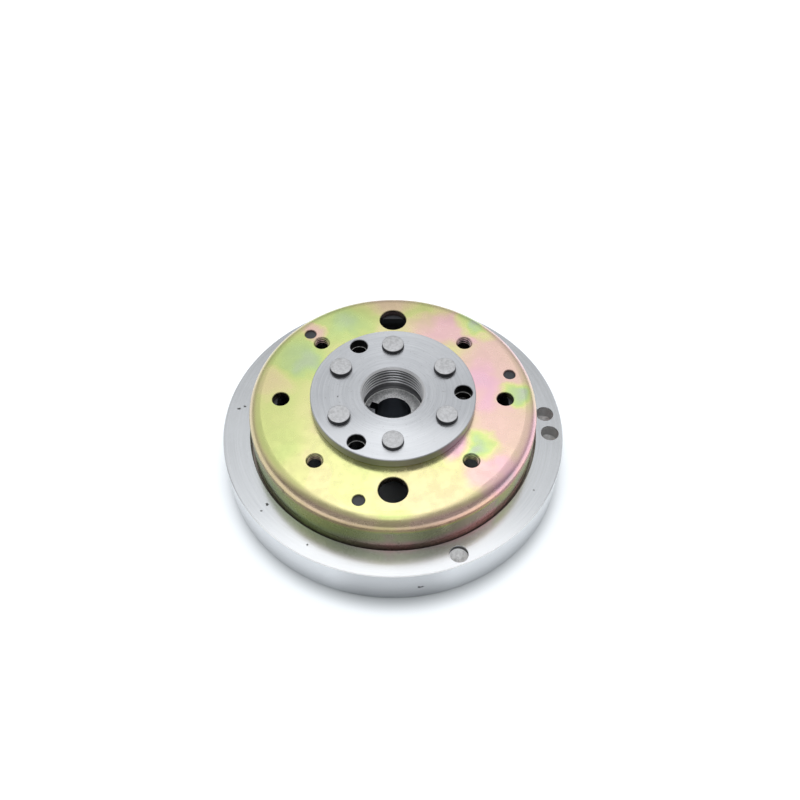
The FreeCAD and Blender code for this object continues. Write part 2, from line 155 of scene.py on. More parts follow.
# Balance drillings: the band of the ring that holds them, two heights with the painted shade of a floor there
# (deeper floors darker), and the painted shade of their walls, darkest on the front walls (by y).
DRILLED_BAND = (55.0, 64.6)
DRILLED_FLOOR_SHADE = (10.0, RING_TOP - 2.0, 0.7, 1.2)
DRILLED_WALL_SHADE = grey(0.62)
DRILLED_FRONT_WALL_SHADE = grey(0.14)
DRILLED_FRONT = (-30.0, -50.0)

# Small knocks in the ring, in mm: x, y and z of the middle, and half the width.
RING_SCARS = [
    (-60.0, 7.9, RING_TOP, 0.75),
    (-57.8, 9.0, RING_TOP, 0.55),
    (-45.5, -35.9, RING_TOP, 0.6),
    (-47.5, -38.5, RING_TOP, 0.45),
    (-30.2, -52.4, RING_TOP, 0.4),
    (9.2, -64.4, 7.3, 0.75),
    (10.3, -64.2, 7.5, 0.6),
]
SCAR = grey(0.05)

# Steel of the hub: its faces, a painted highlight on the front (by y), the threaded pocket with a painted
# highlight on its mouth and painted shade in its roots, the nut seat with a painted highlight on its edge and
# a painted shadow beside the keyway (by x), painted shade on the flange's rim, less at its ends (by x), and
# painted shade in its holes.
HUB_STEEL = (0.57, 0.58, 0.60, 1)
HUB_DARK_STEEL = (0.44, 0.45, 0.47, 1)
HUB_FRONT_HIGHLIGHT = (0.86, 0.87, 0.89, 1)
HUB_FRONT_HIGHLIGHT_SPAN = (-9.0, -22.0, 0.0, 0.42)
HUB_ROUGHNESS = (0.29, 0.39)
HUB_BRUSHED = 0.85
HUB_MARKS_PITCH = 0.35
HUB_STAIN = 0.6
MOUTH_HIGHLIGHT = (0.62, 0.62, 0.63, 1)
THREAD_STEEL = (0.56, 0.56, 0.57, 1)
THREAD_ROOT_SHADE = (0.12, 0.12, 0.125, 1)
SEAT_DARK = grey(0.66)
SEAT_PALE = grey(0.95)
SEAT_EDGE_HIGHLIGHT = (0.95, 0.95, 0.94, 1)
KEYWAY_SHADOW_SPAN = (-5.5, -6.5, 0.0, 0.75)
RIM_SHADE = (0.19, 0.19, 0.185, 1)
RIM_SHADE_ENDS = (6.0, 22.0, 1.0, 0.3)
HOLE_SHADE = grey(0.05)

# The rivets: their heads are struck, so they are a little out of round, and dented by waves of two lengths.
RIVET_STEEL = (0.59, 0.59, 0.60, 1)
RIVET_DARK_STEEL = (0.42, 0.42, 0.425, 1)
RIVET_GRIT = grey(0.2)
# Painted shade on the sides of the rivets.
RIVET_SIDE_SHADE = (0.04, 0.04, 0.045, 1)
RIVET_ROUGHNESS = (0.34, 0.52)
RIVET_SHANK = 2.5
RIVET_HEAD_TOP = 3.85
RIVET_HEAD_FOOT = 4.0
RIVET_GROWTH = (1.05, 1.07, 1.06, 1.05, 1.0, 1.01)
RIVET_ROUNDING = 0.22
RIVET_CROWN = 0.06
RIVET_DENT = 0.02
BROAD_DENTS = 0.9
FINE_DENTS = 2.2
RIVET_OUT_OF_ROUND = 0.05
RIVET_RINGS = 10
RIVET_SEGMENTS = 72
RIVET_SEED_STEP = 7.3
TAIL_ROUNDING = 0.8
SHARP_ANGLE = math.radians(35)

# One turn of the film's colours, as the film grows thicker.
FILM_COLOURS = [
    (0.00, (0.73, 0.69, 0.33, 1)),
    (0.14, (0.73, 0.61, 0.36, 1)),
    (0.27, (0.77, 0.54, 0.45, 1)),
    (0.40, (0.80, 0.50, 0.52, 1)),
    (0.51, (0.79, 0.46, 0.58, 1)),
    (0.61, (0.56, 0.49, 0.50, 1)),
    (0.71, (0.47, 0.58, 0.38, 1)),
    (0.82, (0.52, 0.67, 0.26, 1)),
    (0.92, (0.62, 0.69, 0.25, 1)),
    (1.00, (0.73, 0.69, 0.33, 1)),
]
FILM_DRIFT = (-0.08, 0.10)
FILM_WARP = 5.0
FILM_PATCH_END = 1.6
FILM_WHOLE_TURNS = 2.0

# Patches on the cup's face where the film differs, in mm: x and y of the middle, half widths along x and y,
# and the change of thickness.
FILM_PATCHES = [
    (38, 18, 15, 22, 0.36),
    (33, 4, 6, 13, 0.18),
    (20, 35, 14, 9, 0.36),
    (31, 37, 7, 6, -0.48),
    (34, 33, 5, 5, -0.22),
    (45, 3, 7, 6, -0.48),
    (44, -14, 16, 16, 0.26),
    (36, -32, 10, 8, 0.30),
    (31, -23, 7, 6, -0.42),
    (23, -19, 7, 8, 0.46),
    (16, -42, 20, 12, 0.03),
    (10, 42, 8, 9, -0.14),
    (-1, 49, 9, 6, 0.12),
    (-13, 41, 9, 9, -0.15),
    (-25, 40, 10, 12, -0.12),
    (-30, 34, 6, 5, 0.40),
    (-38, 20, 9, 13, -0.15),
    (-33, 16, 4, 7, -0.08),
    (-45, 9, 8, 7, 0.14),
    (-42, -12, 12, 18, -0.08),
    (-38, -33, 9, 10, -0.06),
    (0, -33, 16, 5, -0.03),
    (2, -51, 7, 4, -0.12),
]

# The film down the skirt, as depths below the cup's face: start, end and change of thickness. The shoulder is
# tan, and the wall turns green, then mauve. The last one runs along X instead, towards the right.
SHOULDER_TAN = (0.1, 1.8, 0.20)
SKIRT_GREEN = (4.8, 7.2, -0.38)
SKIRT_MAUVE = (10.0, 14.5, -0.15)
SKIRT_TILT = (-40.0, 45.0, 0.07, -0.30)

# The skirt: the depths where its painted shade starts, its painted shade in front, right and left, lightest
# at the right, and where x turns one into the next.
SKIRT_DEPTHS = (1.2, 5.0)
SKIRT_SHADE = (0.50, 0.46, 0.34, 1)
SKIRT_RIGHT_SHADE = (1.3, 1.08, 0.84, 1)
SKIRT_LEFT_SHADE = (0.88, 0.90, 0.62, 1)
SKIRT_SIDES = (8.0, 36.0)

# The rest of the cup: painted shade towards the left (x) and the far side (y), dust, painted shade inside by
# depth, painted shade in the roots of the tapped holes, and painted shade on the part under the hub's flange
# with a thin painted highlight at its edge. Four numbers say where a change starts and ends, and its strength
# there.
SHADE_LEFT = (-15.0, -48.0, 0.0, 0.32)
SHADE_FAR = (34.0, 50.0, 0.0, 0.45)
LEFT_AND_FAR_SHADE = (0.5, 0.47, 0.38, 1)
DUST = (0.25, 0.2, 0.1, 1)
INSIDE_SHADE = (0.06, 0.05, 0.03, 1)
INSIDE_DEPTHS = (0.4, 3.0, 0.0, 0.75)
BOLT_ROOT_SHADE = (0.05, 0.045, 0.03, 1)
COVERED_SHADE = (0.012, 0.011, 0.01, 1)
COVERED_EDGE_HIGHLIGHT = (0.7, 0.7, 0.68, 1)
CUP_ROUGHNESS = (0.2, 0.3)
COAT_WEIGHT = 0.45
COAT_ROUGHNESS = 0.3

# The magnets and their cage: tones, how much paler the clouds on them are, and roughness.
FERRITE = (0.035, 0.035, 0.038, 1)
FERRITE_METALLIC = 0.3
CAGE_PLASTIC = (0.02, 0.022, 0.026, 1)
DARK_CLOUD_LIFT = 1.8
DARK_ROUGHNESS = (0.42, 0.58)

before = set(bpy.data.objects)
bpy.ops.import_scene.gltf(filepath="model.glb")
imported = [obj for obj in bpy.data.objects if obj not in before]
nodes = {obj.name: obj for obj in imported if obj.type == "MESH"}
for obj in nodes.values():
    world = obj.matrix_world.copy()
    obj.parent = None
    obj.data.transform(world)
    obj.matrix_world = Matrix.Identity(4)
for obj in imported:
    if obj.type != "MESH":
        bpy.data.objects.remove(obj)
bpy.context.view_layer.update()


class Graph:
    """Small helper that adds shader nodes and links them, so that a material reads as a list of steps."""

    def __init__(self, tree):
        self.tree = tree
        tree.nodes.clear()

    def add(self, kind, **settings):
        node = self.tree.nodes.new(kind)
        for name, value in settings.items():
            setattr(node, name, value)
        return node

    def feed(self, socket, value):
        """Links another node's output to the socket, or sets a plain value on it."""
        if isinstance(value, bpy.types.NodeSocket):
            self.tree.links.new(value, socket)
        else:
            socket.default_value = value

    def math(self, operation, a, b=0.0):
        node = self.add("ShaderNodeMath", operation=operation)
        self.feed(node.inputs[0], a)
        self.feed(node.inputs[1], b)
        return node.outputs[0]

    def product(self, *masks):
        result = masks[0]
        for mask in masks[1:]:
            result = self.math("MULTIPLY", result, mask)
        return result

    def inverse(self, mask):
        """1 where the mask is 0, and 0 where it is 1."""
        return self.math("SUBTRACT", 1.0, mask)

    def squares(self, x, y):
        """Sum of the squares of x and y."""
        return self.math("ADD", self.math("MULTIPLY", x, x), self.math("MULTIPLY", y, y))

    def length(self, x, y):
        return self.math("SQRT", self.squares(x, y))

    def mix(self, factor, a, b, blend="MIX"):
        """Mixes two colours."""
        node = self.add("ShaderNodeMix", data_type="RGBA", blend_type=blend)
        self.feed(node.inputs["Factor"], factor)
        self.feed(node.inputs[6], a)
        self.feed(node.inputs[7], b)
        return node.outputs[2]

    def rescale(self, value, low, high, to_low=0.0, to_high=1.0, smooth=True):
        """Maps low..high to to_low..to_high and holds the ends."""
        node = self.add("ShaderNodeMapRange", interpolation_type="SMOOTHSTEP" if smooth else "LINEAR")
        for index, item in enumerate((value, low, high, to_low, to_high)):
            self.feed(node.inputs[index], item)
        return node.outputs[0]

    def split(self, vector):
        """The x, y and z of a vector."""
        node = self.add("ShaderNodeSeparateXYZ")
        self.feed(node.inputs[0], vector)
        return node.outputs[0], node.outputs[1], node.outputs[2]

    def vector(self, x, y, z):
        node = self.add("ShaderNodeCombineXYZ")
        for index, item in enumerate((x, y, z)):
            self.feed(node.inputs[index], item)
        return node.outputs[0]

    def noise(self, place, scale, detail=2.0, roughness=0.5):
        node = self.add("ShaderNodeTexNoise")
        self.feed(node.inputs["Vector"], place)
        self.feed(node.inputs["Scale"], scale)
        self.feed(node.inputs["Detail"], detail)
        self.feed(node.inputs["Roughness"], roughness)
        return node.outputs["Fac"]

    def bump(self, height, strength, distance, normal=None):
        node = self.add("ShaderNodeBump")
        self.feed(node.inputs["Height"], height)
        self.feed(node.inputs["Strength"], strength)
        self.feed(node.inputs["Distance"], distance)
        if normal is not None:
            self.feed(node.inputs["Normal"], normal)
        return node.outputs[0]

    def metal(self, colour, roughness, normal=None, brushed=0.0, metallic=1.0):
        """Principled surface, brushed round the Z axis if brushed is above 0."""
        shader = self.add("ShaderNodeBsdfPrincipled")
        self.feed(shader.inputs["Base Color"], colour)
        self.feed(shader.inputs["Roughness"], roughness)
        self.feed(shader.inputs["Metallic"], metallic)
        if normal is not None:
            self.feed(shader.inputs["Normal"], normal)
        if brushed:
            tangent = self.add("ShaderNodeTangent", direction_type="RADIAL", axis="Z")
            self.feed(shader.inputs["Anisotropic"], brushed)
            self.feed(shader.inputs["Anisotropic Rotation"], ACROSS_THE_MARKS)
            self.feed(shader.inputs["Tangent"], tangent.outputs[0])
        output = self.add("ShaderNodeOutputMaterial")
        self.feed(output.inputs["Surface"], shader.outputs[0])
        return shader


def object_point(graph):
    return graph.add("ShaderNodeTexCoord").outputs["Object"]


class Place:
    """Where a point is on the object: x, y, their radius and the height z, in mm. The centre is in metres."""

    def __init__(self, graph, centre=(0.0, 0.0)):
        self.point = object_point(graph)
        x, y, z = graph.split(self.point)
        self.x = graph.math("MULTIPLY", graph.math("SUBTRACT", x, centre[0]), 1 / MM)
        self.y = graph.math("MULTIPLY", graph.math("SUBTRACT", y, centre[1]), 1 / MM)
        self.z = graph.math("MULTIPLY", z, 1 / MM)
        self.radius = graph.length(self.x, self.y)


def new_material(name):
    material = bpy.data.materials.new(name)
    material.use_nodes = True
    return material, Graph(material.node_tree)


def upward(graph):
    """How far the surface faces up: 1 on a level top, 0 on a wall."""
    return graph.split(graph.add("ShaderNodeNewGeometry").outputs["True Normal"])[2]


def turning_marks(graph, place, pitch):
    """Fine grooves left by the lathe: quick across the cut, slow round the axis."""
    radius = graph.math("MAXIMUM", place.radius, 0.01)
    round_x = graph.math("MULTIPLY", graph.math("DIVIDE", place.x, radius), MARKS_ROUND)
    round_y = graph.math("MULTIPLY", graph.math("DIVIDE", place.y, radius), MARKS_ROUND)
    across = graph.math("DIVIDE", graph.math("ADD", place.radius, place.z), pitch)
    return graph.noise(graph.vector(round_x, round_y, across), 1.0, detail=3.0, roughness=0.6)


def turned_steel(graph, place, light, dark, pitch, stain):
    """Colour of turned steel, and the lathe marks, clouds and speckle that also shape its surface."""
    marks = turning_marks(graph, place, pitch)
    clouds = graph.noise(place.point, CLOUD_SCALE, detail=4.0)
    speckle = graph.noise(place.point, SPECKLE_SCALE)
    tone = graph.math("ADD", graph.math("MULTIPLY", marks, MARKS_SHARE),
                      graph.math("MULTIPLY", clouds, 1 - MARKS_SHARE))
    colour = graph.mix(graph.rescale(tone, 0.35, 0.65), dark, light)
    colour = graph.mix(graph.rescale(speckle, 0.62, 0.8, 0.0, stain), colour, STAIN)
    pits = graph.noise(place.point, PIT_SCALE, detail=1.0)
    colour = graph.mix(graph.rescale(pits, 0.80, 0.83, 0.0, 0.8), colour, PIT)
    return colour, marks, clouds, speckle


def scars(graph, place):
    """1 inside the small knocks on the ring, 0 elsewhere."""
    ragged = graph.rescale(graph.noise(place.point, SCAR_SCALE), 0.3, 0.7, 0.6, 1.5)
    marked = 0.0
    for x, y, z, size in RING_SCARS:
        gap = graph.add("ShaderNodeVectorMath", operation="DISTANCE")
        graph.feed(gap.inputs[0], place.point)
        graph.feed(gap.inputs[1], (x * MM, y * MM, z * MM))
        away = graph.math("MULTIPLY", gap.outputs["Value"], graph.math("DIVIDE", ragged, size * MM))
        marked = graph.math("MAXIMUM", marked, graph.rescale(away, 1.0, 0.6))
    return marked


def ring_painted_light(graph, place, colour):
    """Painted highlight on the ring's top in front, and painted light on its outer wall, with painted shade
    at its front.
    """
    # Painted highlight on the top, towards the camera.
    front = graph.rescale(place.y, *RING_FRONT_HIGHLIGHT_SPAN)
    colour = graph.mix(front, colour, RING_FRONT_HIGHLIGHT)
    # Painted light on the outer wall, and painted shade on the wall's front.
    wall = graph.rescale(place.radius, RING_RADIUS - 0.15, RING_RADIUS - 0.05, 0.0, 0.8)
    nearest = graph.rescale(place.y, *RING_WALL_SHADE_SPAN)
    return graph.mix(wall, colour, graph.mix(nearest, RING_WALL_PAINTED_LIGHT, RING_WALL_FRONT_PAINTED_SHADE))


def drillings(graph, place, colour):
    """Balance drillings: a torn floor with painted shade, darker the deeper it lies, and painted shade on the
    walls. Also their mask.
    """
    inner, outer = DRILLED_BAND
    drilled = graph.product(graph.rescale(place.radius, inner, inner + 0.2),
                            graph.rescale(place.radius, outer, outer - 0.2),
                            graph.rescale(place.z, RING_TOP - 0.4, RING_TOP - 0.8))
    torn = graph.rescale(graph.noise(place.point, TORN_SCALE, detail=3.0), 0.35, 0.65, 0.75, 1.0)
    # Painted shade on the floors: the deeper ones darker, the shallow ones lighter.
    floor = graph.math("MULTIPLY", torn, graph.rescale(place.z, *DRILLED_FLOOR_SHADE))
    colour = graph.mix(drilled, colour, graph.vector(floor, floor, floor))
    # Painted shade on the walls, darkest on the front walls.
    wall = graph.product(drilled, graph.rescale(upward(graph), 0.5, 0.3))
    wall_shade = graph.mix(graph.rescale(place.y, *DRILLED_FRONT), DRILLED_WALL_SHADE, DRILLED_FRONT_WALL_SHADE)
    return graph.mix(wall, colour, wall_shade), drilled


def ring_material():
    """Turned ring: smooth, nearly mirror-like faces with painted light, drillings with painted shade, painted
    shade in the slot and a painted highlight on the front edge.
    """
    material, graph = new_material("turned_ring_steel")
    place = Place(graph)
    colour, marks, clouds, speckle = turned_steel(
        graph, place, RING_STEEL, RING_DARK_STEEL, RING_MARKS_PITCH, RING_STAIN)
    colour = ring_painted_light(graph, place, colour)
    colour = graph.mix(scars(graph, place), colour, SCAR)
    colour, drilled = drillings(graph, place, colour)
    # Painted shade inside the slot between the ring's bore and the cup, made less metallic.
    slot = graph.product(graph.rescale(place.radius, RING_BORE + 0.2, RING_BORE + 0.1),
                         graph.rescale(place.z, *SLOT_SHADE_HEIGHTS))
    colour = graph.mix(slot, colour, SLOT_SHADE)
    # Painted highlight on the outer top edge at the front, made matt and less metallic.
    front_edge_highlight = graph.product(graph.rescale(place.radius, RING_RADIUS - 0.35, RING_RADIUS - 0.2),
                         graph.rescale(place.z, RING_TOP - 0.35, RING_TOP - 0.2),
                         graph.rescale(place.y, *EDGE_HIGHLIGHT_FRONT))
    colour = graph.mix(front_edge_highlight, colour, EDGE_HIGHLIGHT)
    matt = graph.math("MULTIPLY", graph.math("MAXIMUM", drilled, front_edge_highlight), 0.4)
    rough = graph.math("ADD", graph.rescale(clouds, 0.3, 0.7, *RING_ROUGHNESS), matt)
    normal = graph.bump(marks, 0.4, 0.006 * MM)
    normal = graph.bump(speckle, 0.2, 0.008 * MM, normal)
    metallic = graph.math("SUBTRACT", RING_METALLIC, graph.math("MULTIPLY", front_edge_highlight, 0.65))
    metallic = graph.math("SUBTRACT", metallic, graph.math("MULTIPLY", slot, 0.4))
    graph.metal(colour, rough, normal, brushed=RING_BRUSHED, metallic=metallic)
    return material


def puller_thread(graph, place, colour):
    """Threaded pocket: a painted highlight on the mouth, crests in an even steel tone, and painted shade in
    the roots and the lowest turn. Also the mask of the mouth.
    """
    inside = graph.rescale(place.radius, THREAD_RADIUS, THREAD_RADIUS - 0.1)
    below_mouth = graph.rescale(place.z, FLANGE_TOP - 0.8, FLANGE_TOP - 1.0)
    bevel = graph.rescale(place.radius, MOUTH_RADIUS, MOUTH_RADIUS - 0.05)
    mouth = graph.product(bevel, graph.inverse(below_mouth))
    # Painted highlight on the mouth's bevel.
    colour = graph.mix(mouth, colour, MOUTH_HIGHLIGHT)
    root = graph.product(inside, graph.rescale(place.radius, THREAD_CREST + 0.08, THREAD_CREST + 0.35))
    crest = graph.product(graph.math("SUBTRACT", inside, root), below_mouth)
    colour = graph.mix(crest, colour, THREAD_STEEL)
    # Painted shade in the roots and in the lowest turn, deep in the pocket.
    lowest_turn = graph.product(inside, graph.rescale(place.z, THREAD_END + 0.9, THREAD_END + 0.5))
    root_shade = graph.product(graph.math("MAXIMUM", root, lowest_turn), below_mouth, 0.9)
    return graph.mix(root_shade, colour, THREAD_ROOT_SHADE), mouth


def nut_seat(graph, place, colour):
    """Grainy nut seat with a painted highlight on its edge, a painted shadow beside the keyway and painted
    shade in the bore. Also the edge.
    """
    seat = graph.product(graph.rescale(place.radius, SEAT_RADIUS + 0.15, SEAT_RADIUS + 0.05),
                         graph.rescale(place.z, NUT_SEAT + 0.12, NUT_SEAT + 0.02))
    grain = graph.rescale(graph.noise(place.point, SEAT_SCALE, detail=3.0), 0.35, 0.65)
    # Painted highlight: a bright arc on the seat's outer edge, made matt.
    edge = graph.rescale(place.radius, SEAT_RADIUS - 0.25, SEAT_RADIUS - 0.1)
    colour = graph.mix(seat, colour, graph.mix(edge, graph.mix(grain, SEAT_DARK, SEAT_PALE), SEAT_EDGE_HIGHLIGHT))
    # Painted shadow on the seat beside the keyway.
    slanted = graph.math("ADD", place.y, graph.math("MULTIPLY", place.x, 0.3))
    keyway_shadow = graph.product(graph.rescale(place.x, *KEYWAY_SHADOW_SPAN), graph.rescale(slanted, 0.3, -0.1))
    bore = graph.product(graph.rescale(place.radius, BORE_RADIUS + 0.1, BORE_RADIUS),
                         graph.rescale(place.z, NUT_SEAT - 0.02, NUT_SEAT - 0.1))
    # Painted shade in the bore and painted shadow beside the keyway.
    bore_and_keyway_shade = graph.math("MAXIMUM", bore, graph.product(seat, keyway_shadow))
    return graph.mix(bore_and_keyway_shade, colour, BORE_SHADE), graph.product(seat, edge)


def flange(graph, place, colour):
    """Flange of the hub: painted shade on its rim, a painted highlight on its front, and painted shade on the
    walls of its holes.
    """
    # Painted shade on the rim's side wall, less at its ends.
    rim = graph.product(graph.rescale(place.radius, FLANGE_RADIUS - 0.2, FLANGE_RADIUS - 0.05),
                        graph.rescale(place.z, FLANGE_TOP - 0.2, FLANGE_TOP - 0.4, 0.0, 0.55),
                        graph.rescale(graph.math("ABSOLUTE", place.x), *RIM_SHADE_ENDS))
    colour = graph.mix(rim, colour, RIM_SHADE)
    # Painted highlight on the flange's top in front.
    front = graph.product(graph.rescale(place.y, *HUB_FRONT_HIGHLIGHT_SPAN),
                          graph.rescale(place.z, FLANGE_TOP - 0.2, FLANGE_TOP - 0.1))
    colour = graph.mix(front, colour, HUB_FRONT_HIGHLIGHT)
    # Painted shade on the walls of the flange's holes.
    hole = graph.product(graph.rescale(place.radius, HOLES_RADIUS, HOLES_RADIUS + 0.1),
                         graph.rescale(place.radius, FLANGE_RADIUS - 1.0, FLANGE_RADIUS - 1.1),
                         graph.rescale(place.z, FLANGE_TOP - 0.25, FLANGE_TOP - 0.5),
                         graph.rescale(place.z, CUP_TOP - 0.02, CUP_TOP + 0.02))
    return graph.mix(hole, colour, HOLE_SHADE)


def hub_material():
    """Turned hub: brushed faces, a threaded pocket, a matt nut seat and painted shade in the bore."""
    material, graph = new_material("turned_hub_steel")
    place = Place(graph)
    colour, marks, clouds, speckle = turned_steel(
        graph, place, HUB_STEEL, HUB_DARK_STEEL, HUB_MARKS_PITCH, HUB_STAIN)
    colour, mouth = puller_thread(graph, place, colour)
    colour, seat_edge_highlight = nut_seat(graph, place, colour)
    colour = flange(graph, place, colour)
    matt = graph.math("MAXIMUM", graph.math("MULTIPLY", mouth, 0.4), seat_edge_highlight)
    rough = graph.math("ADD", graph.rescale(clouds, 0.3, 0.7, *HUB_ROUGHNESS),
                       graph.math("MULTIPLY", matt, 0.2))
    normal = graph.bump(marks, 0.5, 0.012 * MM)
    normal = graph.bump(speckle, 0.3, 0.012 * MM, normal)
    metallic = graph.inverse(graph.math("MULTIPLY", matt, 0.5))
    graph.metal(colour, rough, normal, brushed=HUB_BRUSHED, metallic=metallic)
    return material


def rivet_material():
    """Struck rivet heads: a matt, mottled top and painted shade on the sides."""
    material, graph = new_material("struck_rivet_steel")
    point = object_point(graph)
    mottle = graph.noise(point, MOTTLE_SCALE, detail=4.0, roughness=0.6)
    grit = graph.noise(point, GRIT_SCALE)
    colour = graph.mix(graph.rescale(mottle, 0.34, 0.66), RIVET_DARK_STEEL, RIVET_STEEL)
    colour = graph.mix(graph.rescale(grit, 0.6, 0.8, 0.0, 0.5), colour, RIVET_GRIT)
    # Painted shade where the surface faces sideways.
    side = graph.rescale(upward(graph), 0.75, 0.35)
    colour = graph.mix(graph.math("MULTIPLY", side, 0.9), colour, RIVET_SIDE_SHADE)
    rough = graph.rescale(mottle, 0.3, 0.7, *RIVET_ROUGHNESS)
    normal = graph.bump(mottle, 0.4, 0.03 * MM)
    graph.metal(colour, rough, graph.bump(grit, 0.4, 0.012 * MM, normal))
    return material


def film_colour(graph, thickness):
    """Interference colour of the passivation film. The colours repeat each time the thickness grows by 1."""
    ramp = graph.add("ShaderNodeValToRGB")
    ramp.color_ramp.interpolation = "B_SPLINE"
    elements = ramp.color_ramp.elements
    elements[0].position, elements[0].color = FILM_COLOURS[0]
    elements[1].position, elements[1].color = FILM_COLOURS[-1]
    for position, colour in FILM_COLOURS[1:-1]:
        elements.new(position).color = colour
    graph.feed(ramp.inputs[0], graph.math("FRACT", thickness))
    return ramp.outputs["Color"]


def warped(graph, place, value, scale):
    """A coordinate that sways a little, so that the patches have uneven outlines."""
    sway = graph.noise(place.point, scale, detail=4.0)
    return graph.math("ADD", value, graph.rescale(sway, 0.2, 0.8, -FILM_WARP, FILM_WARP, smooth=False))


def film_thickness(graph, place, down):
    """Thickness of the film: slow drift, local patches on the flat face, and bands down the skirt."""
    drift = graph.noise(place.point, FILM_DRIFT_SCALE, roughness=0.45)
    thickness = graph.rescale(drift, 0.25, 0.75, *FILM_DRIFT, smooth=False)
    warped_x = warped(graph, place, place.x, FILM_WARP_SCALES[0])
    warped_y = warped(graph, place, place.y, FILM_WARP_SCALES[1])
    for x, y, wide, high, change in FILM_PATCHES:
        gap_x = graph.math("DIVIDE", graph.math("SUBTRACT", warped_x, x), wide)
        gap_y = graph.math("DIVIDE", graph.math("SUBTRACT", warped_y, y), high)
        patch = graph.rescale(graph.squares(gap_x, gap_y), 0.0, FILM_PATCH_END, change, 0.0)
        thickness = graph.math("ADD", thickness, patch)
    for start, end, change in (SHOULDER_TAN, SKIRT_GREEN, SKIRT_MAUVE):
        thickness = graph.math("ADD", thickness, graph.rescale(down, start, end, 0.0, change))
    on_skirt = graph.rescale(down, *SKIRT_GREEN[:2])
    tilt = graph.product(graph.rescale(place.x, *SKIRT_TILT), on_skirt)
    return graph.math("ADD", graph.math("ADD", thickness, tilt), FILM_WHOLE_TURNS)


def bolt_thread(graph, place):
    """1 in the roots of the four tapped holes, 0 on their crests and everywhere else."""
    gap_x = graph.math("SUBTRACT", graph.math("ABSOLUTE", place.x), BOLT_PLACE)
    gap_y = graph.math("SUBTRACT", graph.math("ABSOLUTE", place.y), BOLT_PLACE)
    radius = graph.length(gap_x, gap_y)
    root = graph.rescale(radius, BOLT_CREST + 0.05, BOLT_CREST + 0.3)
    near = graph.rescale(radius, BOLT_CREST + 0.75, BOLT_CREST + 0.65)
    below = graph.rescale(place.z, CUP_TOP - 0.25, CUP_TOP - 0.35)
    return graph.product(root, near, below)


def skirt_painted_shade(graph, place, colour, outdoors, down):
    """The skirt has painted shade, darker than the face, least at its left and right, and painted shade
    inside the slot.
    """
    # Painted shade on the skirt: darkest in front, lighter at the right and the left.
    shade = graph.mix(graph.rescale(place.x, *SKIRT_SIDES), SKIRT_SHADE, SKIRT_RIGHT_SHADE)
    mirrored = graph.math("MULTIPLY", place.x, -1.0)
    shade = graph.mix(graph.rescale(mirrored, *SKIRT_SIDES), shade, SKIRT_LEFT_SHADE)
    skirt = graph.product(outdoors, graph.rescale(down, *SKIRT_DEPTHS))
    colour = graph.mix(skirt, colour, shade, blend="MULTIPLY")
    # Painted shade on the cup inside the slot.
    return graph.mix(graph.product(outdoors, graph.rescale(place.z, *SLOT_SHADE_HEIGHTS)), colour, SLOT_SHADE)


def plated_material():
    """Yellow passivated zinc: a thin film whose colour drifts between yellow, green, pink and violet."""
    material, graph = new_material("yellow_passivated_zinc")
    place = Place(graph)
    down = graph.math("SUBTRACT", CUP_TOP, place.z)
    outdoors = graph.rescale(place.radius, CUP_INNER, CUP_INNER + 0.3)
    colour = film_colour(graph, film_thickness(graph, place, down))
    # Painted shade towards the left and the far side.
    painted_side_shade = graph.math("MAXIMUM", graph.rescale(place.x, *SHADE_LEFT), graph.rescale(place.y, *SHADE_FAR))
    colour = graph.mix(painted_side_shade, colour, LEFT_AND_FAR_SHADE, blend="MULTIPLY")
    speckle = graph.noise(place.point, DUST_SCALE, detail=3.0)
    colour = graph.mix(graph.rescale(speckle, 0.66, 0.8, 0.0, 0.35), colour, DUST)
    colour = skirt_painted_shade(graph, place, colour, outdoors, down)
    # Painted shade inside the cup's rim, darker deeper below the face.
    inside = graph.product(graph.inverse(outdoors), graph.rescale(down, *INSIDE_DEPTHS))
    colour = graph.mix(inside, colour, INSIDE_SHADE)
    # Painted shade in the roots of the tapped holes.
    colour = graph.mix(graph.product(bolt_thread(graph, place), 0.8), colour, BOLT_ROOT_SHADE)
    # Painted shade on the cup under the hub's flange, with a thin painted highlight at its top edge.
    covered = graph.product(graph.rescale(place.radius, FLANGE_RADIUS, FLANGE_RADIUS - 0.6),
                            graph.rescale(place.z, CUP_FLOOR + 0.05, CUP_FLOOR + 0.15))
    colour = graph.mix(covered, colour, graph.mix(graph.rescale(down, 0.2, 0.1), COVERED_SHADE, COVERED_EDGE_HIGHLIGHT))
    sheet = graph.noise(place.point, SHEET_SCALE, detail=3.0)
    normal = graph.bump(sheet, 0.3, 0.012 * MM)
    normal = graph.bump(speckle, 0.2, 0.006 * MM, normal)
    low = graph.product(outdoors, graph.rescale(place.z, RING_TOP + 2.6, RING_TOP + 0.8))
    metallic = graph.inverse(graph.math("MULTIPLY", covered, 0.7))
    metallic = graph.math("SUBTRACT", metallic, graph.math("MULTIPLY", low, 0.55))
    shader = graph.metal(colour, graph.rescale(sheet, 0.3, 0.7, *CUP_ROUGHNESS), normal, metallic=metallic)
    graph.feed(shader.inputs["Coat Weight"], COAT_WEIGHT)
    graph.feed(shader.inputs["Coat Roughness"], COAT_ROUGHNESS)
    return material


def plain_dark_material(name, colour, metallic=0.0):
    """Dark, grainy and matt, with paler clouds: for the magnets and their cage."""
    material, graph = new_material(name)
    point = object_point(graph)
    grain = graph.noise(point, DARK_GRAIN_SCALE, detail=4.0)
    clouds = graph.noise(point, DARK_CLOUD_SCALE, detail=3.0)
    pale = tuple(DARK_CLOUD_LIFT * channel for channel in colour[:3]) + (1,)
    shade = graph.mix(graph.rescale(clouds, 0.3, 0.7), colour, pale)
    rough = graph.rescale(grain, 0.3, 0.7, *DARK_ROUGHNESS)
    graph.metal(shade, rough, graph.bump(grain, 0.4, 0.03 * MM), metallic=metallic)
    return material


